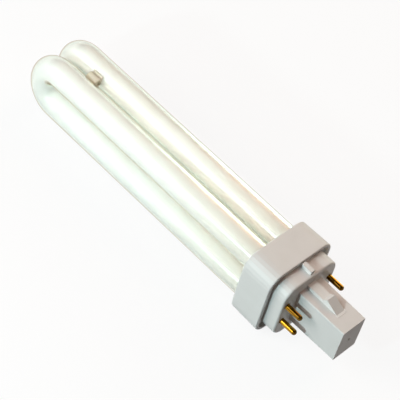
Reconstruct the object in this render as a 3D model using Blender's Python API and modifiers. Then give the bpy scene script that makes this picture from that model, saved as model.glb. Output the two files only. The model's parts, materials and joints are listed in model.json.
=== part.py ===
"""Four pin double-U compact fluorescent lamp, lying as it comes to rest.

The lamp is modelled upright in its own frame. The cap face that meets the lampholder is at
height zero, the glass points up and the key post points down. The two U tubes stand side by
side along X, and the two legs of each U along Y. An empty then lays the whole lamp on its side.
All sizes are in metres.
"""

from math import cos, pi, radians, sin, sqrt

import bmesh
import bpy
import numpy as np
from mathutils import Matrix, Vector

# Clearances and overlaps
SEAT_GAP = 0.0003        # between two pieces that touch
BITE = 0.0004            # how far joined forms run into each other and cutters run past

# Glass tubes
TUBE_DIAMETER = 0.0120
PAIR_GAP = 0.0028        # clear gap between the two U tubes
LEG_GAP = 0.0056         # clear gap between the legs of one U
TUBE_REACH = 0.1138      # straight legs seen above the collar
BEND_RISE = 0.0083       # rise of a bend's centreline above the straight legs
LEG_SEAT = 0.0090        # length of a leg held inside the collar
LEG_DOME = 0.0030        # height of a leg's rounded end
BRIDGE_DIAMETER = 0.0070
BRIDGE_RISE = 0.0055     # bridge axis above the collar
PRESS_WIDTH = 0.0080     # flattened seal below an electrode leg
PRESS_THICKNESS = 0.0030
PRESS_LENGTH = 0.0035
EXHAUST_DIAMETER = 0.0035
EXHAUST_LENGTH = 0.0035

# Clear spacer between the U tubes
SPACER_OVER = 0.0014     # how much wider the plug is than the gap it sits on
SPACER_BED = 0.0004      # how far each tube beds into the plug's round side
SPACER_LENGTH = 0.0060
SPACER_DROP = 0.0106     # plug's middle below the start of the bends
SPACER_EDGE = 0.0008

# Collar shell
COLLAR_MARGIN = 0.0022   # collar's outer face beyond the glass, at the tube side
COLLAR_FLARE = 0.0003    # how much wider each side is at the rim
COLLAR_HEIGHT = 0.01435
COLLAR_WALL = 0.0015
COLLAR_ROOF = 0.0018
COLLAR_CORNER = 0.0066
COLLAR_RIM_EDGE = 0.0005
COLLAR_ROOF_EDGE = 0.0008
CEMENT_DEPTH = 0.0050

# Step below the collar
STEP_HEIGHT = 0.0063     # cap face to collar rim
STEP_INSET = 0.0028      # step's side face in from the collar's rim
STEP_CORNER = 0.0063
STEP_EDGE = 0.0008
RECESS_DEPTH = 0.0013    # dark groove between step and collar
FLANGE_THICKNESS = 0.0016
MOULD_WALL = 0.0014
MOULD_FLOOR = 0.0016

# Key post
POST_LENGTH = 0.0234
POST_WIDTH = 0.0128      # across X at the root
POST_DEPTH = 0.0176      # across Y at the root
POST_DRAFT = 0.0002      # taper of each side along the post
POST_EDGE = 0.0005
GATE_DIAMETER = 0.0011   # moulding mark on the post's end
GATE_HEIGHT = 0.0002

# Catch bar and wedge on two faces of the post
BAR_WIDTH = 0.0043
BAR_HEIGHT = 0.0015
BAR_LENGTH = 0.00825
CATCH_HEIGHT = 0.0030
CATCH_STEP = 0.0017
CATCH_RAMP = 0.0063

# Key rib below the collar rim
KEY_WIDTH = 0.0020
KEY_SETBACK = 0.0009     # rib's outer face in from the collar's rim
KEY_CLEAR = 0.0010       # rib's end above the cap face

# Contact pins
PIN_WALL = 0.0006
PIN_LENGTH = 0.0078
PIN_PITCH = 0.0094       # between the two pins of one side
PIN_INSET = 0.0028       # pin axis in from the step's side face
PIN_HEAD_RIM = 0.00055   # how far the head stands out from the pin
PIN_HEAD_THICKNESS = 0.0005
BOSS_WALL = 0.0011
BOSS_HEIGHT = 0.0036
CRIMP_DIAMETER = 0.0018
CRIMP_DEPTH = 0.00025
CRIMP_RISE = 0.0017      # crimp dent above the pin's tip

# Lead-in wires
WIRE_DIAMETER = 0.0006
WIRE_PITCH = 0.0030      # between the two wires of one seal
WIRE_DROP = 0.0015       # how far a wire runs straight below the seal
WIRE_ARCH = 0.0030       # how high a wire arches above its pin
WIRE_END = 0.0020        # wire end above the pin's tip

# Facets
TUBE_SIDES = 32
BEND_STEPS = 18
DOME_STEPS = 3
CORNER_SEGMENTS = 6
EDGE_SEGMENTS = 3
PIN_SIDES = 20
WIRE_STEPS = 14
SMOOTH_ANGLE = radians(30)

# Places that follow from the sizes
LEG_X = (TUBE_DIAMETER + PAIR_GAP) / 2
LEG_Y = (TUBE_DIAMETER + LEG_GAP) / 2
RIM_Z = STEP_HEIGHT
ROOF_Z = RIM_Z + COLLAR_HEIGHT
ROOF_UNDER_Z = ROOF_Z - COLLAR_ROOF
BEND_Z = ROOF_Z + TUBE_REACH
LEG_END_Z = ROOF_Z - LEG_SEAT
PRESS_END_Z = LEG_END_Z - PRESS_LENGTH
FLANGE_Z = RIM_Z + RECESS_DEPTH
FLANGE_TOP_Z = FLANGE_Z + FLANGE_THICKNESS
BOSS_TOP_Z = MOULD_FLOOR + BOSS_HEIGHT
PIN_HEAD_Z = BOSS_TOP_Z + SEAT_GAP
PIN_TOP_Z = PIN_HEAD_Z + PIN_HEAD_THICKNESS
COLLAR_HALF = LEG_Y + TUBE_DIAMETER / 2 + COLLAR_MARGIN
RIM_HALF = COLLAR_HALF + COLLAR_FLARE
STEP_HALF = RIM_HALF - STEP_INSET
PIN_BORE = WIRE_DIAMETER + 2 * SEAT_GAP
PIN_DIAMETER = PIN_BORE + 2 * PIN_WALL
PIN_X = STEP_HALF - PIN_INSET
PIN_Y = PIN_PITCH / 2
SIDES = (1, -1)


def new_collection(name):
    collection = bpy.data.collections.new(name)
    bpy.context.scene.collection.children.link(collection)
    return collection


def material(name, colour, roughness, metallic=0.0, transmission=0.0):
    """Principled material with the part's plain colour and finish."""
    made = bpy.data.materials.new(name)
    made.use_nodes = True
    shader = made.node_tree.nodes["Principled BSDF"]
    shader.inputs["Base Color"].default_value = (*colour, 1.0)
    shader.inputs["Roughness"].default_value = roughness
    shader.inputs["Metallic"].default_value = metallic
    shader.inputs["Transmission Weight"].default_value = transmission
    made.diffuse_color = (*colour, 1.0)
    return made


def add_object(name, mesh, collection, finish=None):
    """Object in the lamp's own frame, carried by the empty that lays the lamp down."""
    made = bpy.data.objects.new(name, mesh)
    collection.objects.link(made)
    made.parent = bpy.data.objects["lamp_stand"]
    if finish:
        mesh.materials.append(finish)
    if collection.name == "lamp_cutters":
        made.hide_render = True
        made.display_type = "WIRE"
    return made


def mesh_from(bm, name):
    mesh = bpy.data.meshes.new(name)
    bm.to_mesh(mesh)
    bm.free()
    mesh.shade_smooth()
    mesh.set_sharp_from_angle(angle=SMOOTH_ANGLE)
    return mesh


def mesh_from_curve(curve, name, place=Matrix.Identity(4)):
    """Closed mesh of a curve, with its caps welded on."""
    holder = bpy.data.objects.new(name, curve)
    bpy.context.scene.collection.objects.link(holder)
    depsgraph = bpy.context.evaluated_depsgraph_get()
    raw = bpy.data.meshes.new_from_object(holder.evaluated_get(depsgraph))
    bm = bmesh.new()
    bm.from_mesh(raw)
    bmesh.ops.remove_doubles(bm, verts=bm.verts, dist=0.00001)
    bmesh.ops.transform(bm, matrix=place, verts=bm.verts)
    bpy.data.objects.remove(holder)
    bpy.data.curves.remove(curve)
    bpy.data.meshes.remove(raw)
    return mesh_from(bm, name)


def rod_along(points, widths, diameter, sides, name):
    """Round rod along a row of points, its width at each point a share of the diameter."""
    curve = bpy.data.curves.new(name, "CURVE")
    curve.dimensions = "3D"
    curve.bevel_depth = diameter / 2
    curve.bevel_resolution = sides // 2 - 2
    curve.render_resolution_u = 0
    curve.use_fill_caps = True
    spline = curve.splines.new("POLY")
    spline.points.add(len(points) - 1)
    for target, point, width in zip(spline.points, points, widths):
        target.co = (*point, 1.0)
        target.radius = width
    return mesh_from_curve(curve, name)


def extruded_outline(outline, thickness, place, name):
    """Flat outline drawn in its own XY plane, given a thickness and put in place."""
    curve = bpy.data.curves.new(name, "CURVE")
    curve.dimensions = "2D"
    curve.fill_mode = "BOTH"
    curve.extrude = thickness / 2
    spline = curve.splines.new("POLY")
    spline.points.add(len(outline) - 1)
    for target, point in zip(spline.points, outline):
        target.co = (*point, 0.0, 1.0)
    spline.use_cyclic_u = True
    return mesh_from_curve(curve, name, place)


def cylinder(diameter, low, high, centre, sides, name, edge=0.0, turn=Matrix.Identity(4)):
    """Upright cylinder between two heights, its end edges rounded if an edge is given."""
    bm = bmesh.new()
    bmesh.ops.create_cone(
        bm, cap_ends=True, segments=sides, radius1=diameter / 2, radius2=diameter / 2, depth=high - low
    )
    if edge:
        rims = [rim for rim in bm.edges if abs(rim.verts[0].co.z - rim.verts[1].co.z) < BITE]
        bmesh.ops.bevel(
            bm, geom=rims, offset=edge, segments=EDGE_SEGMENTS, profile=0.5, affect="EDGES", material=-1
        )
    bmesh.ops.translate(bm, verts=bm.verts, vec=(0.0, 0.0, (low + high) / 2))
    bmesh.ops.transform(bm, matrix=Matrix.Translation((*centre, 0.0)) @ turn, verts=bm.verts)
    return mesh_from(bm, name)


def rounded_block(low, high, half_low, half_high, corner, name, low_edge=0.0, high_edge=0.0):
    """Four sided block with round corners, its half widths given at both ends."""
    bm = bmesh.new()
    bmesh.ops.create_cube(bm, size=2.0)
    for vert in bm.verts:
        half = half_high if vert.co.z > 0 else half_low
        level = high if vert.co.z > 0 else low
        vert.co = Vector((vert.co.x * half[0], vert.co.y * half[1], level))
    if corner:
        tall = (high - low) / 2
        upright = [side for side in bm.edges if abs(side.verts[0].co.z - side.verts[1].co.z) > tall]
        bmesh.ops.bevel(
            bm, geom=upright, offset=corner, segments=CORNER_SEGMENTS, profile=0.5, affect="EDGES", material=-1
        )
    for level, edge in ((low, low_edge), (high, high_edge)):
        if edge:
            rim = [side for side in bm.edges if all(abs(vert.co.z - level) < 1e-6 for vert in side.verts)]
            bmesh.ops.bevel(
                bm, geom=rim, offset=edge, segments=EDGE_SEGMENTS, profile=0.5, affect="EDGES", material=-1
            )
    return mesh_from(bm, name)


def turned(profile, name, finish, collection, place):
    """Round piece from half its section, turned about its own upright axis."""
    bm = bmesh.new()
    row = [bm.verts.new((radius, 0.0, height)) for radius, height in profile]
    for start, end in zip(row, row[1:]):
        bm.edges.new((start, end))
    made = add_object(name, mesh_from(bm, name), collection, finish)
    made.location = place
    screw = made.modifiers.new("turn", "SCREW")
    screw.axis = "Z"
    screw.steps = PIN_SIDES
    screw.render_steps = PIN_SIDES
    screw.use_merge_vertices = True
    screw.merge_threshold = 0.00001
    screw.use_smooth_shade = True
    return made


def combine(target, mesh, operation, cutters):
    """Join a mesh to a part, or cut it away, with a Boolean that stays live."""
    tool = add_object(mesh.name, mesh, cutters)
    boolean = target.modifiers.new(mesh.name, "BOOLEAN")
    boolean.operation = operation
    boolean.solver = "EXACT"
    boolean.object = tool
    return tool


def join(target, mesh, cutters):
    return combine(target, mesh, "UNION", cutters)


def cut(target, mesh, cutters):
    return combine(target, mesh, "DIFFERENCE", cutters)


def u_tube_mesh(x, name):
    """One bent glass tube: a closed leg, the bend over the top and the other closed leg."""
    points = []
    widths = []
    for step in range(DOME_STEPS):
        angle = pi / 2 * (step + 0.5) / DOME_STEPS
        points.append((x, -LEG_Y, LEG_END_Z + LEG_DOME * (1 - cos(angle))))
        widths.append(sin(angle))
    points.append((x, -LEG_Y, LEG_END_Z + LEG_DOME))
    widths.append(1.0)
    middle = []
    for step in range(BEND_STEPS + 1):
        angle = pi * step / BEND_STEPS
        middle.append((x, -LEG_Y * cos(angle), BEND_Z + BEND_RISE * sin(angle)))
    far = [(x, LEG_Y, point[2]) for point in reversed(points)]
    return rod_along(points + middle + far, widths + [1.0] * len(middle) + widths[::-1], TUBE_DIAMETER,
                     TUBE_SIDES, name)


def build_glass(parts, cutters, finish):
    """Both U tubes, the bridge between them, the press seals and the exhaust tips, as one glass body."""
    glass = add_object("glass_tube", u_tube_mesh(LEG_X, "glass_tube"), parts, finish)
    join(glass, u_tube_mesh(-LEG_X, "second_u"), cutters)
    bridge = cylinder(BRIDGE_DIAMETER, -LEG_X, LEG_X, (0.0, 0.0), TUBE_SIDES, "bridge",
                      turn=Matrix.Rotation(pi / 2, 4, "Y"))
    join(glass, bridge, cutters).location = (0.0, -LEG_Y, ROOF_Z + BRIDGE_RISE)
    for side in SIDES:
        press = rounded_block(PRESS_END_Z, LEG_END_Z + LEG_DOME, (PRESS_WIDTH / 2, PRESS_THICKNESS / 2),
                              (PRESS_WIDTH / 2, PRESS_THICKNESS / 2), PRESS_THICKNESS / 4, "press_seal")
        join(glass, press, cutters).location = (side * LEG_X, LEG_Y, 0.0)
        tip = cylinder(EXHAUST_DIAMETER, LEG_END_Z - EXHAUST_LENGTH, LEG_END_Z + LEG_DOME,
                       (side * LEG_X, -LEG_Y), PIN_SIDES, "exhaust_tip", edge=EXHAUST_DIAMETER / 4)
        join(glass, tip, cutters)
    return glass


def build_spacer(parts, cutters, finish):
    """Clear plug in the valley between the two U tubes, saddled on both of them."""
    middle = BEND_Z - SPACER_DROP
    diameter = PAIR_GAP + SPACER_OVER
    reach = (TUBE_DIAMETER + diameter) / 2 - SPACER_BED
    stand = sqrt(reach ** 2 - LEG_X ** 2)
    plug = cylinder(diameter, middle - SPACER_LENGTH / 2, middle + SPACER_LENGTH / 2,
                    (0.0, LEG_Y + stand), PIN_SIDES, "tube_spacer", edge=SPACER_EDGE)
    spacer = add_object("tube_spacer", plug, parts, finish)
    for side in SIDES:
        saddle = cylinder(TUBE_DIAMETER + 2 * SEAT_GAP, middle - SPACER_LENGTH, middle + SPACER_LENGTH,
                          (side * LEG_X, LEG_Y), TUBE_SIDES, "spacer_saddle")
        cut(spacer, saddle, cutters)


def collar_inside(height):
    """Half width of the room inside the collar, which narrows from its rim to its roof."""
    return RIM_HALF - COLLAR_FLARE * (height - RIM_Z) / COLLAR_HEIGHT - COLLAR_WALL


def build_collar(parts, cutters, finish):
    """Moulded shell, open below, with a round hole in its roof for each tube leg."""
    outer = rounded_block(RIM_Z, ROOF_Z, (RIM_HALF, RIM_HALF), (COLLAR_HALF, COLLAR_HALF), COLLAR_CORNER,
                          "cap_collar", COLLAR_RIM_EDGE, COLLAR_ROOF_EDGE)
    collar = add_object("cap_collar", outer, parts, finish)
    low = collar_inside(RIM_Z - BITE)
    high = collar_inside(ROOF_UNDER_Z)
    cut(collar, rounded_block(RIM_Z - BITE, ROOF_UNDER_Z, (low, low), (high, high),
                              COLLAR_CORNER - COLLAR_WALL, "collar_hollow"), cutters)
    for x in SIDES:
        for y in SIDES:
            hole = cylinder(TUBE_DIAMETER + 2 * SEAT_GAP, ROOF_UNDER_Z - BITE, ROOF_Z + BITE,
                            (x * LEG_X, y * LEG_Y), TUBE_SIDES, "leg_hole")
            cut(collar, hole, cutters)
    return collar


def build_cement(parts, cutters, finish):
    """Cast cement under the collar's roof, around all four legs."""
    high = ROOF_UNDER_Z - SEAT_GAP
    half = collar_inside(high) - SEAT_GAP
    fill = rounded_block(high - CEMENT_DEPTH, high, (half, half), (half, half),
                         COLLAR_CORNER - COLLAR_WALL, "tube_cement")
    cement = add_object("tube_cement", fill, parts, finish)
    for x in SIDES:
        for y in SIDES:
            hole = cylinder(TUBE_DIAMETER + 2 * SEAT_GAP, high - CEMENT_DEPTH - BITE, high + BITE,
                            (x * LEG_X, y * LEG_Y), TUBE_SIDES, "cement_hole")
            cut(cement, hole, cutters)


def post_face(height):
    """Half depth of the post at a height below the cap face, where the height is negative."""
    return POST_DEPTH / 2 + POST_DRAFT * height / POST_LENGTH


def catch_mesh(side):
    """Raised bar below the cap face that climbs to a wedge and ramps down to the post again."""
    step_z = -BAR_LENGTH
    peak_z = step_z - CATCH_STEP
    foot_z = peak_z - CATCH_RAMP
    inside = POST_DEPTH / 2 - MOULD_WALL / 2
    outline = [
        (inside, MOULD_FLOOR / 2),
        (post_face(0.0) + BAR_HEIGHT, MOULD_FLOOR / 2),
        (post_face(step_z) + BAR_HEIGHT, step_z),
        (post_face(peak_z) + CATCH_HEIGHT, peak_z),
        (post_face(foot_z) - POST_DRAFT, foot_z),
        (inside, foot_z),
    ]
    turn = 0.0 if side > 0 else pi
    place = Matrix.Rotation(turn, 4, "Z") @ Matrix.Rotation(pi / 2, 4, "Z") @ Matrix.Rotation(pi / 2, 4, "X")
    return extruded_outline(outline, BAR_WIDTH, place, "catch")


def build_base(parts, cutters, finish):
    """Step, hollow key post, catches and key rib, moulded in one piece that is open above."""
    step = rounded_block(0.0, FLANGE_Z + BITE, (STEP_HALF, STEP_HALF), (STEP_HALF, STEP_HALF), STEP_CORNER,
                         "cap_base", low_edge=STEP_EDGE)
    base = add_object("cap_base", step, parts, finish)
    flange = collar_inside(FLANGE_TOP_Z) - SEAT_GAP
    join(base, rounded_block(FLANGE_Z, FLANGE_TOP_Z, (flange, flange), (flange, flange),
                             COLLAR_CORNER - COLLAR_WALL, "flange"), cutters)
    root = (POST_WIDTH / 2, POST_DEPTH / 2)
    end = (root[0] - POST_DRAFT, root[1] - POST_DRAFT)
    join(base, rounded_block(-POST_LENGTH, BITE, end, root, POST_EDGE, "post"), cutters)
    for side in SIDES:
        join(base, catch_mesh(side), cutters)
    key_out = RIM_HALF - KEY_SETBACK
    key = rounded_block(KEY_CLEAR, RIM_Z - SEAT_GAP, (KEY_WIDTH / 2, (key_out - STEP_HALF) / 2 + BITE),
                        (KEY_WIDTH / 2, (key_out - STEP_HALF) / 2 + BITE), 0.0, "key_rib")
    join(base, key, cutters).location = (0.0, (key_out + STEP_HALF) / 2 - BITE, 0.0)
    join(base, cylinder(GATE_DIAMETER, -POST_LENGTH - GATE_HEIGHT, -POST_LENGTH + BITE, (0.0, 0.0),
                        PIN_SIDES, "gate_mark"), cutters)
    hollow_base(base, cutters)


def hollow_base(base, cutters):
    """The room inside the base: a wide one in the step, round the pin bosses, and a deep one in the post."""
    room = STEP_HALF - MOULD_WALL
    hollow = cut(base, rounded_block(MOULD_FLOOR, FLANGE_TOP_Z + BITE, (room, room), (room, room),
                                     STEP_CORNER - MOULD_WALL, "step_hollow"), cutters)
    hole = PIN_DIAMETER + 2 * SEAT_GAP
    boss = hole + 2 * BOSS_WALL
    half_facet = Matrix.Rotation(pi / PIN_SIDES, 4, "Z")
    for x in SIDES:
        for y in SIDES:
            place = (x * PIN_X, y * PIN_Y)
            cut(hollow, cylinder(boss, 0.0, BOSS_TOP_Z + BITE, place, PIN_SIDES, "pin_boss",
                                 turn=half_facet), cutters)
            cut(base, cylinder(hole, -BITE, BOSS_TOP_Z + BITE, place, PIN_SIDES, "pin_hole",
                               turn=half_facet), cutters)
            cut(base, cylinder(hole + 2 * PIN_HEAD_RIM, BOSS_TOP_Z, FLANGE_TOP_Z + BITE, place, PIN_SIDES,
                               "head_seat", turn=half_facet), cutters)
    wide = (POST_WIDTH / 2 - MOULD_WALL, POST_DEPTH / 2 - MOULD_WALL)
    narrow = (wide[0] - POST_DRAFT, wide[1] - POST_DRAFT)
    cut(base, rounded_block(-POST_LENGTH + MOULD_WALL, MOULD_FLOOR + BITE, narrow, wide, POST_EDGE,
                            "post_hollow"), cutters)


def pin_profile():
    """Half section of a hollow pin: up its bore, over its head and down its outside to the round tip."""
    bore = PIN_BORE / 2
    shank = PIN_DIAMETER / 2
    head = shank + PIN_HEAD_RIM
    bottom = -PIN_LENGTH + WIRE_END - SEAT_GAP
    profile = [(0.0, bottom), (bore, bottom), (bore, PIN_TOP_Z), (head, PIN_TOP_Z), (head, PIN_HEAD_Z),
               (shank, PIN_HEAD_Z)]
    steps = 5
    for step in range(steps + 1):
        angle = pi / 2 * step / steps
        profile.append((shank * cos(angle), -PIN_LENGTH + shank * (1 - sin(angle))))
    return profile


def build_pins(parts, cutters, finish):
    """Four hollow pins, two on each side of the post, each with a crimp dent facing outwards."""
    number = 0
    for x in SIDES:
        for y in SIDES:
            number += 1
            pin = turned(pin_profile(), f"pin_{number}", finish, parts, (x * PIN_X, y * PIN_Y, 0.0))
            dent = bmesh.new()
            bmesh.ops.create_uvsphere(dent, u_segments=12, v_segments=8, radius=CRIMP_DIAMETER / 2)
            tool = cut(pin, mesh_from(dent, "crimp_dent"), cutters)
            reach = PIN_DIAMETER / 2 + CRIMP_DIAMETER / 2 - CRIMP_DEPTH
            tool.location = (x * (PIN_X + reach), y * PIN_Y, CRIMP_RISE - PIN_LENGTH)


def bezier(ends, handles, steps):
    """Points along the smooth curve between two ends that leaves and arrives by the two handles."""
    start, end = (Vector(point) for point in ends)
    first, second = (Vector(point) for point in handles)
    points = []
    for step in range(steps + 1):
        t = step / steps
        s = 1 - t
        points.append(s ** 3 * start + 3 * s * s * t * first + 3 * s * t * t * second + t ** 3 * end)
    return points


def build_leads(parts, finish):
    """Two wires from each press seal, each bent over to a pin and down into its bore."""
    number = 0
    for x in SIDES:
        for y in SIDES:
            number += 1
            start = Vector((x * LEG_X + x * y * WIRE_PITCH / 2, LEG_Y, PRESS_END_Z - SEAT_GAP))
            above = Vector((x * PIN_X, y * PIN_Y, PIN_TOP_Z))
            points = bezier((start, above), (start - Vector((0.0, 0.0, WIRE_DROP)),
                                             above + Vector((0.0, 0.0, WIRE_ARCH))), WIRE_STEPS)
            points.append(Vector((above.x, above.y, WIRE_END - PIN_LENGTH)))
            wire = rod_along(points, [1.0] * len(points), WIRE_DIAMETER, 8, f"lead_{number}")
            add_object(f"lead_{number}", wire, parts, finish)


def lamp_points(objects):
    """Corner points of finished parts in world space, one row each."""
    depsgraph = bpy.context.evaluated_depsgraph_get()
    rows = []
    for item in objects:
        evaluated = item.evaluated_get(depsgraph)
        mesh = evaluated.to_mesh()
        flat = np.empty(len(mesh.vertices) * 3)
        mesh.vertices.foreach_get("co", flat)
        place = np.array(evaluated.matrix_world)
        rows.append(flat.reshape(-1, 3) @ place[:3, :3].T + place[:3, 3])
        evaluated.to_mesh_clear()
    return np.concatenate(rows)


def rest_tilt(collar, glass):
    """Angle at which the collar's rim and the bends touch the ground together, tips down."""
    rim = lamp_points([collar])
    bends = lamp_points([glass])
    low, high = 0.0, radians(10)
    for _ in range(40):
        tilt = (low + high) / 2
        heights = [(points[:, 1] * cos(tilt) - points[:, 2] * sin(tilt)).min() for points in (rim, bends)]
        if heights[1] > heights[0]:
            low = tilt
        else:
            high = tilt
    return (low + high) / 2


def lay_down(stand, parts, collar, glass):
    """Turn the lamp on its side, tips along +X, and stand its box on the origin."""
    stand.rotation_euler = (pi / 2 + rest_tilt(collar, glass), 0.0, pi / 2)
    bpy.context.view_layer.update()
    points = lamp_points(parts)
    low, high = points.min(axis=0), points.max(axis=0)
    stand.location = (-(low[0] + high[0]) / 2, -(low[1] + high[1]) / 2, -low[2])
    bpy.context.view_layer.update()


def main():
    for item in list(bpy.data.objects):
        bpy.data.objects.remove(item)
    parts = new_collection("compact_fluorescent_lamp")
    cutters = new_collection("lamp_cutters")
    stand = bpy.data.objects.new("lamp_stand", None)
    parts.objects.link(stand)
    stand.empty_display_size = TUBE_DIAMETER
    coated_glass = material("coated_glass", (0.90, 0.93, 0.86), 0.12)
    clear_silicone = material("clear_silicone", (0.86, 0.84, 0.74), 0.25, transmission=0.7)
    white_plastic = material("white_plastic", (0.80, 0.81, 0.79), 0.38)
    brass = material("brass", (0.80, 0.58, 0.22), 0.18, metallic=1.0)
    nickel_wire = material("nickel_wire", (0.62, 0.60, 0.56), 0.30, metallic=1.0)
    cement = material("basing_cement", (0.70, 0.68, 0.62), 0.85)
    glass = build_glass(parts, cutters, coated_glass)
    build_spacer(parts, cutters, clear_silicone)
    collar = build_collar(parts, cutters, white_plastic)
    build_cement(parts, cutters, cement)
    build_base(parts, cutters, white_plastic)
    build_pins(parts, cutters, brass)
    build_leads(parts, nickel_wire)
    bpy.context.view_layer.update()
    lay_down(stand, [item for item in parts.objects if item.type == "MESH"], collar, glass)


main()
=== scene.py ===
"""Looks of a four pin double-U compact fluorescent lamp that lies on a plain pale floor.

The file is laid out as an add-on and is run as a script. The packed lamp is loaded first and keeps its
places. Each operator then makes or dresses one piece or one group of pieces, and the last one makes the
studio. Pieces are shaped in the lamp's own frame and laid down with the lamp. All sizes are in metres.

In the lamp's own frame the cap face is at height zero, the glass points up and the key post down. The two
U tubes stand side by side along X, and the two legs of each U along Y.
"""

import json
from math import atan2, cos, pi, radians, sin, sqrt

import bmesh
import bpy
from bpy.props import FloatProperty, FloatVectorProperty, IntProperty, PointerProperty
from mathutils import Matrix, Vector


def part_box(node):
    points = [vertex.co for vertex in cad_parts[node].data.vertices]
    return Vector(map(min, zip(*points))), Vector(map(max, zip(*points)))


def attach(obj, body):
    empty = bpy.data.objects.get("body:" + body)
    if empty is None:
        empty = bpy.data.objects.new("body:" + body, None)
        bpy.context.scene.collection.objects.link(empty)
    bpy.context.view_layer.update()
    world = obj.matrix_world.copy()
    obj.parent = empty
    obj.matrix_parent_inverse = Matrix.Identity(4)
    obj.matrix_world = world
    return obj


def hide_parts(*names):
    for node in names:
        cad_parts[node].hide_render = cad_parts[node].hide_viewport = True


bl_info = {
    "name": "Compact Fluorescent Lamp Looks",
    "version": (1, 0, 0),
    "blender": (4, 5, 0),
    "location": "3D View > Sidebar > Lamp",
    "description": "Dresses a packed four pin double-U lamp and lights it in a plain studio",
    "category": "Object",
}

BODY = "root"
SIDES = (1, -1)
SMOOTH_ANGLE = radians(40)
MERGE_DISTANCE = 1e-6
EDGE_SEGMENTS = 3
ROD_SIDES = 32
ROD_EDGE_SEGMENTS = 4
NIB_SIDES = 16
DOME_STEPS = 8
BRIDGE_STEPS = 12
BRIDGE_BITE = 1.6        # how far the bridge runs into each tube, in walls
BEAD_SIDES = 10
BEAD_STEPS = 48
FLOOR_REACH = 4.0
SENSOR_WIDTH = 36.0      # millimetres
WHITE = (1.0, 1.0, 1.0, 1.0)

# Direction from the origin, distance and width of each studio lamp. The fill lamp stands far off, so that
# the edge of its light on the floor stays out of nearly every view.
STUDIO_LAMPS = {
    "key": ((0.06, 0.90, 0.38), 0.75, 0.04),
    "soft": ((0.42, 0.68, 0.60), 0.60, 0.36),
    "back": ((-0.02, -0.62, 0.70), 0.60, 0.40),
    "fill": ((0.02, -0.95, 0.22), 1.65, 1.10),
}

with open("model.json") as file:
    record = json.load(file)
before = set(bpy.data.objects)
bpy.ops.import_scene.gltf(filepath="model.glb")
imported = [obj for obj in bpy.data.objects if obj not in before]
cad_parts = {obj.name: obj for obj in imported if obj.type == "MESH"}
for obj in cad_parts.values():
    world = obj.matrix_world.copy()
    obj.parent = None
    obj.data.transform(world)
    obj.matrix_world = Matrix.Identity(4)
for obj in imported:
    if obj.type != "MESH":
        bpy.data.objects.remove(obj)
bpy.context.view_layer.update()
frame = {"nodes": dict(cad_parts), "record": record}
MOUNTS = {mount["name"]: mount for mount in frame["record"]["mounts"]}


def linear(code):
    """Linear colour, with full alpha, of an sRGB hex value such as #F4F2E8."""
    parts = [int(code[start:start + 2], 16) / 255 for start in (1, 3, 5)]
    return (*(part / 12.92 if part <= 0.04045 else ((part + 0.055) / 1.055) ** 2.4 for part in parts), 1.0)


def colour_property(name, description, code):
    return FloatVectorProperty(name=name, description=description, subtype="COLOR", size=4, min=0.0, max=1.0,
                               default=linear(code))


def length_property(name, description, default):
    return FloatProperty(name=name, description=description, unit="LENGTH", precision=5, min=0.0,
                         default=default)


class TubeSizes(bpy.types.PropertyGroup):
    """Sizes of the bent glass tubes."""

    diameter: length_property("Diameter", "Outer diameter of the glass tube", 0.0120)
    wall: length_property("Wall", "Thickness of the clear glass over the white coat", 0.0007)
    leg_pitch: length_property("Leg pitch", "Distance between the axes of the two legs of a U", 0.0176)
    leg_start: length_property("Leg start", "Height of the hidden end of a leg above the cap face", 0.01165)
    dome: length_property("End dome", "Height of the rounded end of a leg", 0.0030)
    bend_start: length_property("Bend start", "Height above the cap face where the legs bend", 0.13445)
    bend_rise: length_property("Bend rise", "Rise of the bend's centreline above its start", 0.0083)
    bridge_height: length_property("Bridge height", "Height of the glass bridge above the cap face", 0.02615)
    bridge_diameter: length_property("Bridge diameter", "Outer diameter of the glass bridge", 0.0070)
    bridge_flare: length_property("Bridge flare", "Growth of the bridge's radius at its welds", 0.0009)
    press_width: length_property("Press width", "Width of the flattened seal below a leg", 0.0080)
    press_thickness: length_property("Press thickness", "Thickness of the flattened seal", 0.0030)
    press_length: length_property("Press length", "Length of the flattened seal", 0.0046)
    press_drop: length_property("Press drop", "Depth of the seal's middle below the leg's end", 0.0012)
    press_edge: length_property("Press edge", "Rounding of the flattened seal", 0.0007)
    exhaust_diameter: length_property("Exhaust diameter", "Diameter of the sealed exhaust tip", 0.0035)
    exhaust_length: length_property("Exhaust length", "Length of the sealed exhaust tip", 0.0050)
    exhaust_drop: length_property("Exhaust drop", "Depth of the tip's middle below the leg's end", 0.0010)
    exhaust_edge: length_property("Exhaust edge", "Rounding of the sealed exhaust tip", 0.0010)
    sides: IntProperty(name="Sides", description="Facets round a tube", min=16, max=128, default=64)
    bend_steps: IntProperty(name="Bend steps", description="Rings round a bend", min=12, max=96, default=48)


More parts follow.
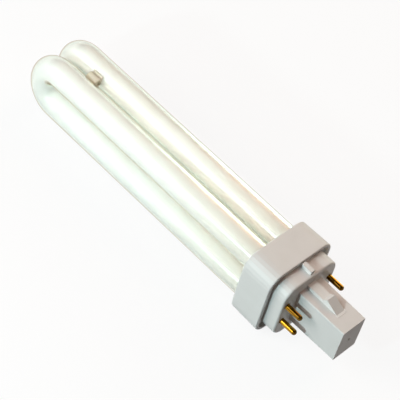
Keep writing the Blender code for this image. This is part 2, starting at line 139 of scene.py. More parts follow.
class CapSizes(bpy.types.PropertyGroup):
    """Sizes of the plug between the tubes and of small features on the cap."""

    plug_height: length_property("Plug height", "Height of the plug's middle above the cap face", 0.12385)
    plug_length: length_property("Plug length", "Length of the plug along the tubes", 0.0060)
    plug_diameter: length_property("Plug diameter", "Diameter of the plug before its flats", 0.0042)
    plug_bore: length_property("Plug bore", "Diameter of the blind hole in the plug's end", 0.0018)
    bore_depth: length_property("Bore depth", "Depth of the blind hole in the plug's end", 0.0024)
    plug_edge: length_property("Plug edge", "Rounding of the plug's ends", 0.0007)
    plug_bed: length_property("Plug bed", "Depth to which each tube beds into the plug", 0.0004)
    plug_gap: length_property("Plug gap", "Gap between the plug's flats and the glass", 0.00002)
    lip_width: length_property("Lip width", "Width of the lip that lies on a tube", 0.0020)
    lip_turn: FloatProperty(name="Lip turn", description="Turn of the lip round its tube from the plug",
                            subtype="ANGLE", default=radians(15))
    lip_length: length_property("Lip length", "Length of the lip along its tube", 0.00528)
    lip_thickness: length_property("Lip thickness", "Thickness of the lip", 0.0007)
    lip_edge: length_property("Lip edge", "Rounding of the lip", 0.0002)
    nib_height: length_property("Nib height", "Height of the moulding nib on the plug", 0.0012)
    nib_diameter: length_property("Nib diameter", "Diameter of the moulding nib", 0.0006)
    nib_lift: length_property("Nib lift", "Height of the nib's foot above the lip's middle", 0.0001)
    nib_place: length_property("Nib place", "Distance of the nib from the middle of the plug", 0.00216)
    nib_edge: length_property("Nib edge", "Rounding of the moulding nib", 0.00015)
    roof_height: length_property("Collar roof", "Height of the collar's roof above the cap face", 0.02065)
    bead: length_property("Cement bead", "Radius of the cement bead round each leg", 0.00032)
    post_depth: length_property("Post depth", "Depth of the key post at its root", 0.0176)
    post_length: length_property("Post length", "Length of the key post", 0.0234)
    post_draft: length_property("Post draft", "Taper of each side of the post along its length", 0.0002)
    witness_width: length_property("Witness width", "Width between the mould lines at a catch's foot", 0.0049)
    witness_start: length_property("Witness start", "Depth below the cap face where the lines begin", 0.01555)
    witness_end: length_property("Witness end", "Depth below the cap face where the lines close", 0.01705)
    witness_line: length_property("Witness line", "Width of one mould line", 0.00024)


class Finishes(bpy.types.PropertyGroup):
    """Colours of the lamp's materials."""

    glass_rim: colour_property("Glass rim", "Gleam of the clear glass towards its rim", "#F6FCF4")
    # Painted shade: the brown line along the glass's outline
    glass_edge_painted_shade: colour_property("Glass edge", "Thin line where the clear glass is seen edge on", "#C2AC94")
    coat_tip: colour_property("Coat at the bends", "White coat near the bends", "#F9FBF7")
    # Painted warm shade near the collar, and also the cloudy tone of the coat
    coat_cap_shade_and_tone: colour_property("Coat at the cap", "White coat near the cap", "#F8F4EA")
    plastic: colour_property("Plastic", "Moulded white plastic", "#E8E6E4")
    plastic_low: colour_property("Plastic, low", "Cloudier patches in the plastic", "#E0DDDA")
    silicone: colour_property("Silicone", "Clear plug, slightly yellow", "#FFF5E0")
    brass: colour_property("Brass", "Bright drawn brass", "#C4942A")
    # Brown of the crimped tips, and the painted dark reflections along the pins
    brass_tip_and_painted_reflection: colour_property("Brass, low", "Browner drawn lines in the brass", "#2C1206")
    cement: colour_property("Cement", "Cast basing cement", "#D9D6CA")
    wire: colour_property("Wire", "Nickel lead-in wire", "#B9B6AE")
    floor: colour_property("Floor", "Floor as it lights the lamp", "#665C56")


class Studio(bpy.types.PropertyGroup):
    """Camera and lamps of the studio."""

    aim: FloatVectorProperty(name="Aim", description="Point that the camera looks at", unit="LENGTH",
                             precision=5, default=(-0.00425, 0.00044, 0.017))
    distance: length_property("Distance", "From the camera to the point that it looks at", 0.69305)
    azimuth: FloatProperty(name="Azimuth", description="Turn of the camera round the lamp",
                           subtype="ANGLE", default=radians(212.03))
    elevation: FloatProperty(name="Elevation", description="Height of the camera above the horizon",
                             subtype="ANGLE", default=radians(50.18))
    roll: FloatProperty(name="Roll", description="Turn of the camera about its own line of sight",
                        subtype="ANGLE", default=radians(18.04))
    lens: FloatProperty(name="Lens", description="Focal length in millimetres on a 36 mm sensor",
                        default=159.2)
    key_power: FloatProperty(name="Key lamp", description="Power of the small cool lamp in watts",
                             default=2.60)
    soft_power: FloatProperty(name="Soft lamp", description="Power of the broad white lamp in watts",
                              default=2.25)
    back_power: FloatProperty(name="Back lamp", description="Power of the warm lamp behind in watts",
                              default=1.12)
    fill_power: FloatProperty(name="Fill lamp", description="Power of the low lamp on the far side in watts",
                              default=15.2)
    key_colour: colour_property("Key colour", "Colour of the small lamp", "#D6F6FA")
    soft_colour: colour_property("Soft colour", "Colour of the broad lamp", "#FFFDF9")
    back_colour: colour_property("Back colour", "Colour of the lamp behind", "#FFCAB4")
    fill_colour: colour_property("Fill colour", "Colour of the low lamp on the far side", "#E2FAEE")
    world_colour: colour_property("World", "Colour of the world as it lights the lamp", "#443934")


def lamp_place():
    """Matrix that lays the lamp's own frame where the packed lamp lies."""
    face = MOUNTS["cap_face"]
    up = -Vector(face["axis"]).normalized()
    across = Vector((0.0, 1.0, 0.0))
    back = up.cross(across)
    turn = Matrix((across, back, up)).transposed().to_4x4()
    centre = Vector(face["pos_m"])
    centre.y = 0.0
    return Matrix.Translation(centre) @ turn


LAMP = lamp_place()


def finished(bm, name, material):
    """Lays the shape down with the lamp and makes it a piece that rides on the lamp."""
    bmesh.ops.remove_doubles(bm, verts=bm.verts, dist=MERGE_DISTANCE)
    bmesh.ops.transform(bm, matrix=LAMP, verts=bm.verts)
    bmesh.ops.recalc_face_normals(bm, faces=bm.faces)
    mesh = bpy.data.meshes.new(name)
    bm.to_mesh(mesh)
    bm.free()
    mesh.materials.append(material)
    mesh.shade_smooth()
    mesh.set_sharp_from_angle(angle=SMOOTH_ANGLE)
    piece = bpy.data.objects.new(name, mesh)
    bpy.context.scene.collection.objects.link(piece)
    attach(piece, BODY)
    return piece


def dress(names, material):
    """Gives packed pieces a better material and leaves their shape alone."""
    for name in names:
        for slot in frame["nodes"][name].material_slots:
            slot.material = material


def new_material(name):
    """Empty material tree with its output node."""
    material = bpy.data.materials.new(name)
    material.use_nodes = True
    tree = material.node_tree
    tree.nodes.clear()
    return material, tree, tree.nodes.new("ShaderNodeOutputMaterial")


def add_node(tree, kind, inputs=None, **settings):
    """Adds a node, sets it up and fills its inputs with values or with other nodes' outputs."""
    node = tree.nodes.new(kind)
    for name, value in settings.items():
        setattr(node, name, value)
    for name, value in (inputs or {}).items():
        if isinstance(value, bpy.types.NodeSocket):
            tree.links.new(value, node.inputs[name])
        else:
            node.inputs[name].default_value = value
    return node


def per_mm(size):
    """Scale of a pattern whose features are this many millimetres across."""
    return 1000.0 / size


def blend_colours(tree, share, first, second):
    """Colour between two, by a share that is another node's output."""
    mix = add_node(tree, "ShaderNodeMix", {"Factor": share}, data_type="RGBA")
    for socket, colour in ((mix.inputs[6], first), (mix.inputs[7], second)):
        if isinstance(colour, bpy.types.NodeSocket):
            tree.links.new(colour, socket)
        else:
            socket.default_value = colour
    return mix.outputs[2]


def soda_lime_glass(finishes):
    """Clear drawn soda-lime glass: its rim shows the pale surroundings and ends in a thin brown line of
    painted shade.
    """
    material, tree, output = new_material("soda_lime_glass")
    edge = add_node(tree, "ShaderNodeLayerWeight", {"Blend": 0.5}).outputs["Facing"]
    # Painted shade: the outermost 0.5 mm turns brown, both in what shows through and in what the glass
    # mirrors
    painted_outline = add_node(tree, "ShaderNodeMapRange", {"Value": edge, "From Min": 0.6, "From Max": 1.0})
    tint = blend_colours(tree, painted_outline.outputs[0], WHITE, finishes.glass_edge_painted_shade)
    gleam = blend_colours(tree, painted_outline.outputs[0], finishes.glass_rim, finishes.glass_edge_painted_shade)
    clear = add_node(tree, "ShaderNodeBsdfTransparent", {"Color": tint})
    shine = add_node(tree, "ShaderNodeBsdfGlossy", {"Color": gleam, "Roughness": 0.22})
    # The glass mirrors about 3% of the light face on, and ever more towards its rim
    rim = add_node(tree, "ShaderNodeMath", {0: edge, 1: 3.0}, operation="POWER")
    mirror = add_node(tree, "ShaderNodeMapRange", {"Value": rim.outputs[0], "From Max": 0.3, "To Min": 0.03})
    mix = add_node(tree, "ShaderNodeMixShader",
                   {0: mirror.outputs[0], 1: clear.outputs[0], 2: shine.outputs[0]})
    tree.links.new(mix.outputs[0], output.inputs["Surface"])
    return material


def phosphor_powder(finishes):
    """Fired white phosphor powder inside the glass: dead matt, faintly cloudy, and creamier near the cap,
    where the cream is painted warm shade.
    """
    material, tree, output = new_material("phosphor_powder")
    place = add_node(tree, "ShaderNodeTexCoord").outputs["Object"]
    # Painted warm shade: the cream of the cap end fades out about 20 mm past the lamp's middle
    along = add_node(tree, "ShaderNodeSeparateXYZ", {0: place}).outputs["X"]
    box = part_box("glass_tube")
    share = add_node(tree, "ShaderNodeMapRange",
                     {"Value": along, "From Min": box[0].x, "From Max": box[1].x * 0.25},
                     interpolation_type="SMOOTHSTEP")
    base = blend_colours(tree, share.outputs[0], finishes.coat_cap_shade_and_tone, finishes.coat_tip)
    # The coat runs thick and thin over about 9 mm as it dries
    cloud = add_node(tree, "ShaderNodeTexNoise", {"Vector": place, "Scale": per_mm(9.0), "Detail": 3.0})
    faint = add_node(tree, "ShaderNodeMapRange",
                     {"Value": cloud.outputs["Fac"], "From Min": 0.35, "From Max": 0.7, "To Max": 0.2})
    base = blend_colours(tree, faint.outputs[0], base, finishes.coat_cap_shade_and_tone)
    # Powder grains of a few microns, drawn at 0.4 mm so that they show
    grain = add_node(tree, "ShaderNodeTexNoise", {"Vector": place, "Scale": per_mm(0.4), "Detail": 2.0})
    bump = add_node(tree, "ShaderNodeBump",
                    {"Height": grain.outputs["Fac"], "Strength": 0.06, "Distance": 0.0001})
    # Part of the light scatters back at once, and the rest fills the tube and leaves it evenly
    skin = add_node(tree, "ShaderNodeBsdfPrincipled",
                    {"Base Color": base, "Roughness": 0.9, "Specular IOR Level": 0.2,
                     "Normal": bump.outputs[0]})
    glow = add_node(tree, "ShaderNodeBsdfPrincipled",
                    {"Base Color": base, "Roughness": 0.9, "Specular IOR Level": 0.2,
                     "Subsurface Weight": 1.0, "Subsurface Radius": (1.0, 0.97, 0.92),
                     "Subsurface Scale": 0.06, "Normal": bump.outputs[0]}, subsurface_method="BURLEY")
    shader = add_node(tree, "ShaderNodeMixShader", {0: 0.42, 1: skin.outputs[0], 2: glow.outputs[0]})
    tree.links.new(shader.outputs[0], output.inputs["Surface"])
    return material


def moulded_pbt(finishes):
    """Injection moulded PBT plastic: satin, with a fine spark-eroded grain and faint flow clouds."""
    material, tree, output = new_material("moulded_pbt")
    place = add_node(tree, "ShaderNodeTexCoord").outputs["Object"]
    cloud = add_node(tree, "ShaderNodeTexNoise", {"Vector": place, "Scale": per_mm(7.0), "Detail": 4.0})
    base = blend_colours(tree, cloud.outputs["Fac"], finishes.plastic, finishes.plastic_low)
    # Spark-eroded grain of 0.05 mm, drawn at 0.25 mm so that it shows
    grain = add_node(tree, "ShaderNodeTexNoise", {"Vector": place, "Scale": per_mm(0.25), "Detail": 2.0})
    bump = add_node(tree, "ShaderNodeBump",
                    {"Height": grain.outputs["Fac"], "Strength": 0.12, "Distance": 0.00003})
    gloss = add_node(tree, "ShaderNodeMapRange",
                     {"Value": cloud.outputs["Fac"], "To Min": 0.34, "To Max": 0.46})
    shader = add_node(tree, "ShaderNodeBsdfPrincipled",
                      {"Base Color": base, "Roughness": gloss.outputs[0], "IOR": 1.55,
                       "Specular IOR Level": 0.27, "Normal": bump.outputs[0]})
    tree.links.new(shader.outputs[0], output.inputs["Surface"])
    return material


def clear_silicone(finishes):
    """Moulded clear silicone rubber: slightly yellow, and soft in its shine."""
    material, tree, output = new_material("clear_silicone")
    place = add_node(tree, "ShaderNodeTexCoord").outputs["Object"]
    ripple = add_node(tree, "ShaderNodeTexNoise", {"Vector": place, "Scale": per_mm(1.5), "Detail": 2.0})
    bump = add_node(tree, "ShaderNodeBump",
                    {"Height": ripple.outputs["Fac"], "Strength": 0.3, "Distance": 0.0002})
    shader = add_node(tree, "ShaderNodeBsdfPrincipled",
                      {"Base Color": finishes.silicone, "Roughness": 0.12, "IOR": 1.41,
                       "Subsurface Weight": 0.5, "Subsurface Radius": (1.0, 0.95, 0.85),
                       "Subsurface Scale": 0.001, "Transmission Weight": 0.2, "Normal": bump.outputs[0]})
    tree.links.new(shader.outputs[0], output.inputs["Surface"])
    return material


def drawn_brass(finishes):
    """Bright drawn brass: yellow metal with brown streaks along each pin, painted dark reflections, over the
    bumps of the die lines.
    """
    material, tree, output = new_material("drawn_brass")
    place = add_node(tree, "ShaderNodeTexCoord").outputs["Object"]
    # Die lines of 0.1 mm run the length of a pin, drawn at 0.6 mm so that they show
    stretch = add_node(tree, "ShaderNodeMapping", {"Vector": place, "Scale": (0.05, 1.0, 1.0)})
    lines = add_node(tree, "ShaderNodeTexNoise",
                     {"Vector": stretch.outputs[0], "Scale": per_mm(0.6), "Detail": 3.0})
    # Painted dark reflections: the die-line pattern also lays brown streaks along each pin
    share = add_node(tree, "ShaderNodeMapRange",
                     {"Value": lines.outputs["Fac"], "From Min": 0.42, "From Max": 0.58, "To Max": 0.9})
    # The crimp that holds the lead-in wire leaves the last 1.5 mm of each tip brown
    along = add_node(tree, "ShaderNodeSeparateXYZ", {0: place}).outputs["X"]
    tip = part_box("pin_1")[0].x
    burnt = add_node(tree, "ShaderNodeMapRange",
                     {"Value": along, "From Min": tip + 0.0003, "From Max": tip + 0.0015,
                      "To Min": 0.85, "To Max": 0.0}, interpolation_type="SMOOTHSTEP")
    share = add_node(tree, "ShaderNodeMath", {0: share.outputs[0], 1: burnt.outputs[0]}, operation="MAXIMUM")
    base = blend_colours(tree, share.outputs[0], finishes.brass, finishes.brass_tip_and_painted_reflection)
    bump = add_node(tree, "ShaderNodeBump",
                    {"Height": lines.outputs["Fac"], "Strength": 0.15, "Distance": 0.00003})
    shader = add_node(tree, "ShaderNodeBsdfPrincipled",
                      {"Base Color": base, "Metallic": 1.0, "Roughness": 0.13, "Normal": bump.outputs[0]})
    tree.links.new(shader.outputs[0], output.inputs["Surface"])
    return material


def basing_cement(finishes):
    """Cast basing cement: chalky and dull, with fine sand in it."""
    material, tree, output = new_material("basing_cement")
    place = add_node(tree, "ShaderNodeTexCoord").outputs["Object"]
    sand = add_node(tree, "ShaderNodeTexNoise", {"Vector": place, "Scale": per_mm(0.5), "Detail": 4.0})
    base = blend_colours(tree, sand.outputs["Fac"], finishes.cement, finishes.plastic_low)
    bump = add_node(tree, "ShaderNodeBump",
                    {"Height": sand.outputs["Fac"], "Strength": 0.4, "Distance": 0.0001})
    shader = add_node(tree, "ShaderNodeBsdfPrincipled",
                      {"Base Color": base, "Roughness": 0.85, "Normal": bump.outputs[0]})
    tree.links.new(shader.outputs[0], output.inputs["Surface"])
    return material


def nickel_wire(finishes):
    """Drawn nickel wire: grey metal, slightly dulled where it was sealed into hot glass."""
    material, tree, output = new_material("nickel_wire")
    place = add_node(tree, "ShaderNodeTexCoord").outputs["Object"]
    dull = add_node(tree, "ShaderNodeTexNoise", {"Vector": place, "Scale": per_mm(1.0), "Detail": 2.0})
    rough = add_node(tree, "ShaderNodeMapRange",
                     {"Value": dull.outputs["Fac"], "To Min": 0.22, "To Max": 0.42})
    shader = add_node(tree, "ShaderNodeBsdfPrincipled",
                      {"Base Color": finishes.wire, "Metallic": 1.0, "Roughness": rough.outputs[0]})
    tree.links.new(shader.outputs[0], output.inputs["Surface"])
    return material


def seen_directly(tree, mirrored=1.0):
    """1 for rays that show the background to the camera or through glass, and 0 for those that light.

    Rays from a mirror count with the share that mirrored gives.
    """
    path = add_node(tree, "ShaderNodeLightPath")
    mirror = add_node(tree, "ShaderNodeMath", {0: path.outputs["Is Glossy Ray"], 1: mirrored},
                      operation="MULTIPLY")
    either = add_node(tree, "ShaderNodeMath", {0: path.outputs["Is Camera Ray"], 1: mirror.outputs[0]},
                      operation="MAXIMUM")
    return add_node(tree, "ShaderNodeMath", {0: either.outputs[0], 1: path.outputs["Is Transmission Ray"]},
                    operation="MAXIMUM").outputs[0]


def paper_floor(finishes):
    """White seamless paper: it shows nearly white with a soft shadow, and lights the lamp a dim warm grey."""
    material, tree, output = new_material("paper_floor")
    lit = add_node(tree, "ShaderNodeBsdfDiffuse", {"Color": WHITE})
    white = add_node(tree, "ShaderNodeEmission", {"Strength": 1.0})
    # What is seen is mostly plain white, and only the rest takes the lamps' light and the shadow
    shown = add_node(tree, "ShaderNodeMixShader", {0: 0.88, 1: lit.outputs[0], 2: white.outputs[0]})
    bounce = add_node(tree, "ShaderNodeBsdfDiffuse", {"Color": finishes.floor})
    mix = add_node(tree, "ShaderNodeMixShader",
                   {0: seen_directly(tree), 1: bounce.outputs[0], 2: shown.outputs[0]})
    tree.links.new(mix.outputs[0], output.inputs["Surface"])
    return material


def draw_tube(bm, stations, sides):
    """Draws a closed round tube through stations, each its centre, radius and lean from +Z towards +Y."""
    centre, radius, lean = stations[0]
    place = Matrix.Translation(centre) @ Matrix.Rotation(-lean, 4, "X")
    ring = bmesh.ops.create_circle(bm, cap_ends=True, segments=sides, radius=radius, matrix=place)["verts"]
    edges = {edge for vert in ring for edge in vert.link_edges}
    for (from_centre, from_radius, from_lean), (to_centre, to_radius, to_lean) in zip(stations, stations[1:]):
        drawn = bmesh.ops.extrude_edge_only(bm, edges=list(edges))["geom"]
        ring = {part for part in drawn if isinstance(part, bmesh.types.BMVert)}
        edges = {edge for vert in ring for edge in vert.link_edges if set(edge.verts) <= ring}
        move = (Matrix.Translation(to_centre) @ Matrix.Rotation(from_lean - to_lean, 4, "X")
                @ Matrix.Scale(to_radius / from_radius, 4) @ Matrix.Translation(-Vector(from_centre)))
        bmesh.ops.transform(bm, matrix=move, verts=list(ring))
    bmesh.ops.edgeloop_fill(bm, edges=list(edges))


def u_tube_stations(sizes, across, inset):
    """Stations up one leg, round the bend and down the other leg, the whole tube smaller by an inset."""
    half = sizes.leg_pitch / 2
    radius = sizes.diameter / 2 - inset
    dome = sizes.dome
    low = sizes.leg_start + inset
    near = []
    for step in range(1, DOME_STEPS + 1):
        angle = pi / 2 * step / DOME_STEPS
        near.append(((across, -half, low + dome * (1 - cos(angle))), radius * sin(angle), 0.0))
    bend = []
    for step in range(sizes.bend_steps + 1):
        turn = pi * step / sizes.bend_steps
        centre = (across, -half * cos(turn), sizes.bend_start + sizes.bend_rise * sin(turn))
        bend.append((centre, radius, atan2(half * sin(turn), sizes.bend_rise * cos(turn))))
    far = [((across, half, centre[2]), width, pi) for centre, width, _ in reversed(near)]
    return near + bend + far


def pair_half(sizes):
    """Distance of each U tube's plane from the lamp's middle, from the packed glass."""
    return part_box("glass_tube")[1].y - sizes.diameter / 2


def add_bridge(bm, sizes, inset):
    """Turns the short glass bridge that joins the two U tubes, flared into its welds."""
    reach = pair_half(sizes) - sizes.diameter / 2 + sizes.wall * BRIDGE_BITE
    row = []
    for step in range(BRIDGE_STEPS + 1):
        share = 2 * step / BRIDGE_STEPS - 1
        radius = sizes.bridge_diameter / 2 - inset + sizes.bridge_flare * abs(share) ** 3
        row.append(bm.verts.new((share * reach, -sizes.leg_pitch / 2, sizes.bridge_height + radius)))
    edges = [bm.edges.new(pair) for pair in zip(row, row[1:])]
    axis_point = (0.0, -sizes.leg_pitch / 2, sizes.bridge_height)
    bmesh.ops.spin(bm, geom=row + edges, cent=axis_point, axis=(1.0, 0.0, 0.0), dvec=(0.0, 0.0, 0.0),
                   angle=2 * pi, steps=sizes.sides // 2, use_merge=True)


def rounded_box(bm, size, place, edge):
    """Adds a box with rounded edges."""
    made = bmesh.ops.create_cube(bm, size=1.0, matrix=place @ Matrix.Diagonal((*size, 1.0)))
    edges = {side for vert in made["verts"] for side in vert.link_edges}
    bmesh.ops.bevel(bm, geom=list(edges), offset=edge, segments=EDGE_SEGMENTS, profile=0.5, affect="EDGES",
                    material=-1)


def turned_rod(bm, diameter, length, place, edge, sides=ROD_SIDES):
    """Adds a round rod along Z with rounded ends."""
    made = bmesh.ops.create_cone(bm, cap_ends=True, segments=sides, radius1=diameter / 2,
                                 radius2=diameter / 2, depth=length)
    rims = {side for vert in made["verts"] for side in vert.link_edges
            if abs(side.verts[0].co.z - side.verts[1].co.z) < length / 2}
    before = set(bm.verts) - set(made["verts"])
    bmesh.ops.bevel(bm, geom=list(rims), offset=edge, segments=ROD_EDGE_SEGMENTS, profile=0.5,
                    affect="EDGES", material=-1)
    bmesh.ops.transform(bm, matrix=place, verts=list(set(bm.verts) - before))


class LAMP_OT_glass_tubes(bpy.types.Operator):
    """Bend the two clear glass tubes and weld them together with the bridge"""

    bl_idname = "lamp.glass_tubes"
    bl_label = "Glass tubes"

    def execute(self, context):
        sizes, finishes = context.scene.lamp_tubes, context.scene.lamp_finishes
        bm = bmesh.new()
        for side in SIDES:
            across = side * pair_half(sizes)
            draw_tube(bm, u_tube_stations(sizes, across, 0.0), sizes.sides)
            seal = Matrix.Translation((across, sizes.leg_pitch / 2, sizes.leg_start - sizes.press_drop))
            seal_size = (sizes.press_width, sizes.press_thickness, sizes.press_length)
            rounded_box(bm, seal_size, seal, sizes.press_edge)
            tip = Matrix.Translation((across, -sizes.leg_pitch / 2, sizes.leg_start - sizes.exhaust_drop))
            turned_rod(bm, sizes.exhaust_diameter, sizes.exhaust_length, tip, sizes.exhaust_edge)
        add_bridge(bm, sizes, 0.0)
        glass = finished(bm, "glass_wall", soda_lime_glass(finishes))
        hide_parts("glass_tube")
        return {"FINISHED"}


class LAMP_OT_phosphor_coat(bpy.types.Operator):
    """Line the glass tubes and the bridge with their white coat"""

    bl_idname = "lamp.phosphor_coat"
    bl_label = "Phosphor coat"

    def execute(self, context):
        sizes, finishes = context.scene.lamp_tubes, context.scene.lamp_finishes
        bm = bmesh.new()
        for side in SIDES:
            draw_tube(bm, u_tube_stations(sizes, side * pair_half(sizes), sizes.wall), sizes.sides)
        add_bridge(bm, sizes, sizes.wall)
        finished(bm, "phosphor_coat", phosphor_powder(finishes))
        return {"FINISHED"}


class LAMP_OT_spacer_plug(bpy.types.Operator):
    """Mould the clear plug that keeps the two U tubes apart near their bends"""

    bl_idname = "lamp.spacer_plug"
    bl_label = "Spacer plug"

    def execute(self, context):
        tubes, sizes, finishes = context.scene.lamp_tubes, context.scene.lamp_cap, context.scene.lamp_finishes
        half = pair_half(tubes)
        leg = tubes.leg_pitch / 2
        radius = sizes.plug_diameter / 2
        reach = tubes.diameter / 2 + radius - sizes.plug_bed
        stand = sqrt(reach ** 2 - half ** 2)
        centre = Vector((0.0, leg + stand, sizes.plug_height))
        bm = bmesh.new()
        turned_rod(bm, sizes.plug_diameter, sizes.plug_length, Matrix.Translation(centre), sizes.plug_edge)
        self.bore(bm, sizes)
        for side in SIDES:
            axis = Vector((side * half, leg, sizes.plug_height))
            away = (centre - axis).normalized()
            touch = axis + away * (tubes.diameter / 2 + sizes.plug_gap)
            parts = list(bm.verts) + list(bm.edges) + list(bm.faces)
            cut = bmesh.ops.bisect_plane(bm, geom=parts, plane_co=touch, plane_no=-away, clear_outer=True)
            rim = [part for part in cut["geom_cut"] if isinstance(part, bmesh.types.BMEdge)]
            bmesh.ops.edgeloop_fill(bm, edges=rim)
        lean = atan2(stand, half) + sizes.lip_turn
        out = Vector((cos(lean), sin(lean), 0.0))
        lip_middle = Vector((-half, leg, sizes.plug_height)) + (
            out * (tubes.diameter / 2 + sizes.lip_thickness / 2))
        lip = Matrix.Translation(lip_middle) @ Matrix.Rotation(lean - pi / 2, 4, "Z")
        rounded_box(bm, (sizes.lip_width, sizes.lip_thickness, sizes.lip_length), lip, sizes.lip_edge)
        nib_middle = lip_middle + Vector((0.0, sizes.nib_height / 2 + sizes.nib_lift, sizes.nib_place))
        nib = Matrix.Translation(nib_middle) @ Matrix.Rotation(pi / 2, 4, "X")
        turned_rod(bm, sizes.nib_diameter, sizes.nib_height, nib, sizes.nib_edge, sides=NIB_SIDES)
        plug = finished(bm, "spacer_plug", clear_silicone(finishes))
        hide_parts("tube_spacer")
        return {"FINISHED"}

    def bore(self, bm, sizes):
        """Blind hole that the mould's core leaves in the plug's end nearer the cap."""
        end = min(bm.faces, key=lambda face: face.calc_center_median().z)
        rim = sizes.plug_diameter / 2 - sizes.plug_edge - sizes.plug_bore / 2
        bmesh.ops.inset_region(bm, faces=[end], thickness=rim)
        sunk = bmesh.ops.extrude_discrete_faces(bm, faces=[end])["faces"][0]
        bmesh.ops.translate(bm, verts=sunk.verts, vec=(0.0, 0.0, sizes.bore_depth))


class LAMP_OT_moulded_cap(bpy.types.Operator):
    """Dress the collar and the base, and add the fine mould lines and the cement beads"""

    bl_idname = "lamp.moulded_cap"
    bl_label = "Moulded cap"

    def execute(self, context):
        tubes, sizes, finishes = context.scene.lamp_tubes, context.scene.lamp_cap, context.scene.lamp_finishes
        plastic = moulded_pbt(finishes)
        cement = basing_cement(finishes)
        dress(["cap_collar", "cap_base"], plastic)
        dress(["tube_cement"], cement)
        self.mould_lines(sizes, plastic)
        self.cement_beads(tubes, sizes, cement)
        return {"FINISHED"}

    def mould_lines(self, sizes, plastic):
        """Fine raised lines that a mould insert leaves round the foot of each catch."""
        bm = bmesh.new()
        line = sizes.witness_line
        for side in SIDES:
            depth = (sizes.witness_start + sizes.witness_end) / 2
            face = side * (sizes.post_depth / 2 - sizes.post_draft * depth / sizes.post_length)
            run = sizes.witness_end - sizes.witness_start
            for edge in SIDES:
                place = Matrix.Translation((edge * (sizes.witness_width - line) / 2, face, -depth))
                rounded_box(bm, (line, line, run), place, line / 4)
            place = Matrix.Translation((0.0, face, line / 2 - sizes.witness_end))
            rounded_box(bm, (sizes.witness_width, line, line), place, line / 4)
        finished(bm, "mould_lines", plastic)

    def cement_beads(self, tubes, sizes, cement):
        """Thin bead of cement that closes the gap between each leg and the collar's roof."""
        bm = bmesh.new()
        for across in SIDES:
            for along in SIDES:
                leg = Vector((across * pair_half(tubes), along * tubes.leg_pitch / 2, sizes.roof_height))
                start = leg + Vector((tubes.diameter / 2 + sizes.bead / 2, 0.0, 0.0))
                place = Matrix.Translation(start) @ Matrix.Rotation(pi / 2, 4, "X")
                ring = bmesh.ops.create_circle(bm, segments=BEAD_SIDES, radius=sizes.bead,
                                               matrix=place)["verts"]
                edges = {edge for vert in ring for edge in vert.link_edges}
                bmesh.ops.spin(bm, geom=ring + list(edges), cent=leg, axis=(0.0, 0.0, 1.0),
                               dvec=(0.0, 0.0, 0.0), angle=2 * pi, steps=BEAD_STEPS, use_merge=True)
        finished(bm, "cement_beads", cement)


class LAMP_OT_contact_pins(bpy.types.Operator):
    """Dress the four brass pins and the lead-in wires inside them"""

    bl_idname = "lamp.contact_pins"
    bl_label = "Contact pins"

    def execute(self, context):
        finishes = context.scene.lamp_finishes
        numbers = range(1, 5)
        dress([f"pin_{number}" for number in numbers], drawn_brass(finishes))
        dress([f"lead_{number}" for number in numbers], nickel_wire(finishes))
        return {"FINISHED"}


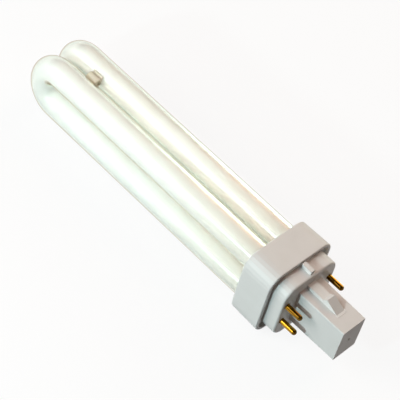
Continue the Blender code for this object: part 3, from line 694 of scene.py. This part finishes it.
class LAMP_OT_studio(bpy.types.Operator):
    """Lay the floor, hang the lamps, set the world and place the camera"""

    bl_idname = "lamp.studio"
    bl_label = "Studio"

    def execute(self, context):
        scene = context.scene
        studio, finishes = scene.lamp_studio, scene.lamp_finishes
        self.floor(scene, finishes)
        self.world(scene, studio)
        # The small key lamp draws the pins' shadows, the broad soft one beside it models the forms
        for name, place in STUDIO_LAMPS.items():
            power = getattr(studio, f"{name}_power")
            colour = getattr(studio, f"{name}_colour")
            self.lamp(scene, f"{name}_lamp", place, power, colour)
        self.camera(scene, studio)
        scene.view_settings.view_transform = "Standard"
        return {"FINISHED"}

    def floor(self, scene, finishes):
        bm = bmesh.new()
        bmesh.ops.create_grid(bm, x_segments=1, y_segments=1, size=FLOOR_REACH)
        mesh = bpy.data.meshes.new("floor")
        bm.to_mesh(mesh)
        bm.free()
        mesh.materials.append(paper_floor(finishes))
        floor = bpy.data.objects.new("floor", mesh)
        scene.collection.objects.link(floor)

    def world(self, scene, studio):
        world = bpy.data.worlds.new("studio_room")
        world.use_nodes = True
        tree = world.node_tree
        tree.nodes.clear()
        light = add_node(tree, "ShaderNodeBackground", {"Color": studio.world_colour})
        white = add_node(tree, "ShaderNodeBackground", {"Color": WHITE})
        # Mirrors see the white backdrop up to where it ends, and above it the dim room
        toward = add_node(tree, "ShaderNodeTexCoord").outputs["Generated"]
        height = add_node(tree, "ShaderNodeSeparateXYZ", {0: toward}).outputs["Z"]
        backdrop = add_node(tree, "ShaderNodeMapRange",
                            {"Value": height, "From Min": 0.25, "From Max": 0.5, "To Min": 1.0,
                             "To Max": 0.05}, interpolation_type="SMOOTHSTEP")
        mix = add_node(tree, "ShaderNodeMixShader",
                       {0: seen_directly(tree, backdrop.outputs[0]), 1: light.outputs[0],
                        2: white.outputs[0]})
        output = tree.nodes.new("ShaderNodeOutputWorld")
        tree.links.new(mix.outputs[0], output.inputs["Surface"])
        scene.world = world

    def lamp(self, scene, name, place, power, colour):
        direction, distance, width = place
        data = bpy.data.lights.new(name, "AREA")
        data.size = width
        data.energy = power
        data.color = colour[:3]
        lamp = bpy.data.objects.new(name, data)
        away = Vector(direction).normalized()
        lamp.location = away * distance
        lamp.rotation_euler = away.to_track_quat("Z", "Y").to_euler()
        scene.collection.objects.link(lamp)

    def camera(self, scene, studio):
        data = bpy.data.cameras.new("photo_camera")
        data.sensor_fit = "HORIZONTAL"
        data.sensor_width = SENSOR_WIDTH
        data.lens = studio.lens
        camera = bpy.data.objects.new("photo_camera", data)
        turn = (Matrix.Rotation(studio.azimuth, 4, "Z") @ Matrix.Rotation(pi / 2 - studio.elevation, 4, "X")
                @ Matrix.Rotation(studio.roll, 4, "Z"))
        camera.matrix_world = (Matrix.Translation(studio.aim) @ turn
                               @ Matrix.Translation((0.0, 0.0, studio.distance)))
        scene.collection.objects.link(camera)
        scene.camera = camera


class LAMP_PT_looks(bpy.types.Panel):
    """Lists the lamp's pieces, its sizes and its colours"""

    bl_label = "Lamp looks"
    bl_idname = "LAMP_PT_looks"
    bl_space_type = "VIEW_3D"
    bl_region_type = "UI"
    bl_category = "Lamp"

    def draw(self, context):
        layout = self.layout
        for operator in OPERATORS:
            layout.operator(operator.bl_idname)
        for name, group in GROUPS.items():
            box = layout.box()
            box.label(text=group.__doc__)
            for field in group.__annotations__:
                box.prop(getattr(context.scene, name), field)


GROUPS = {
    "lamp_tubes": TubeSizes,
    "lamp_cap": CapSizes,
    "lamp_finishes": Finishes,
    "lamp_studio": Studio,
}
OPERATORS = (
    LAMP_OT_glass_tubes,
    LAMP_OT_phosphor_coat,
    LAMP_OT_spacer_plug,
    LAMP_OT_moulded_cap,
    LAMP_OT_contact_pins,
    LAMP_OT_studio,
)
CLASSES = (*GROUPS.values(), *OPERATORS, LAMP_PT_looks)


def register():
    for item in CLASSES:
        bpy.utils.register_class(item)
    for name, group in GROUPS.items():
        setattr(bpy.types.Scene, name, PointerProperty(type=group))


def unregister():
    for name in GROUPS:
        delattr(bpy.types.Scene, name)
    for item in reversed(CLASSES):
        bpy.utils.unregister_class(item)


def main():
    register()
    bpy.ops.lamp.glass_tubes()
    bpy.ops.lamp.phosphor_coat()
    bpy.ops.lamp.spacer_plug()
    bpy.ops.lamp.moulded_cap()
    bpy.ops.lamp.contact_pins()
    bpy.ops.lamp.studio()


if __name__ == "__main__":
    main()
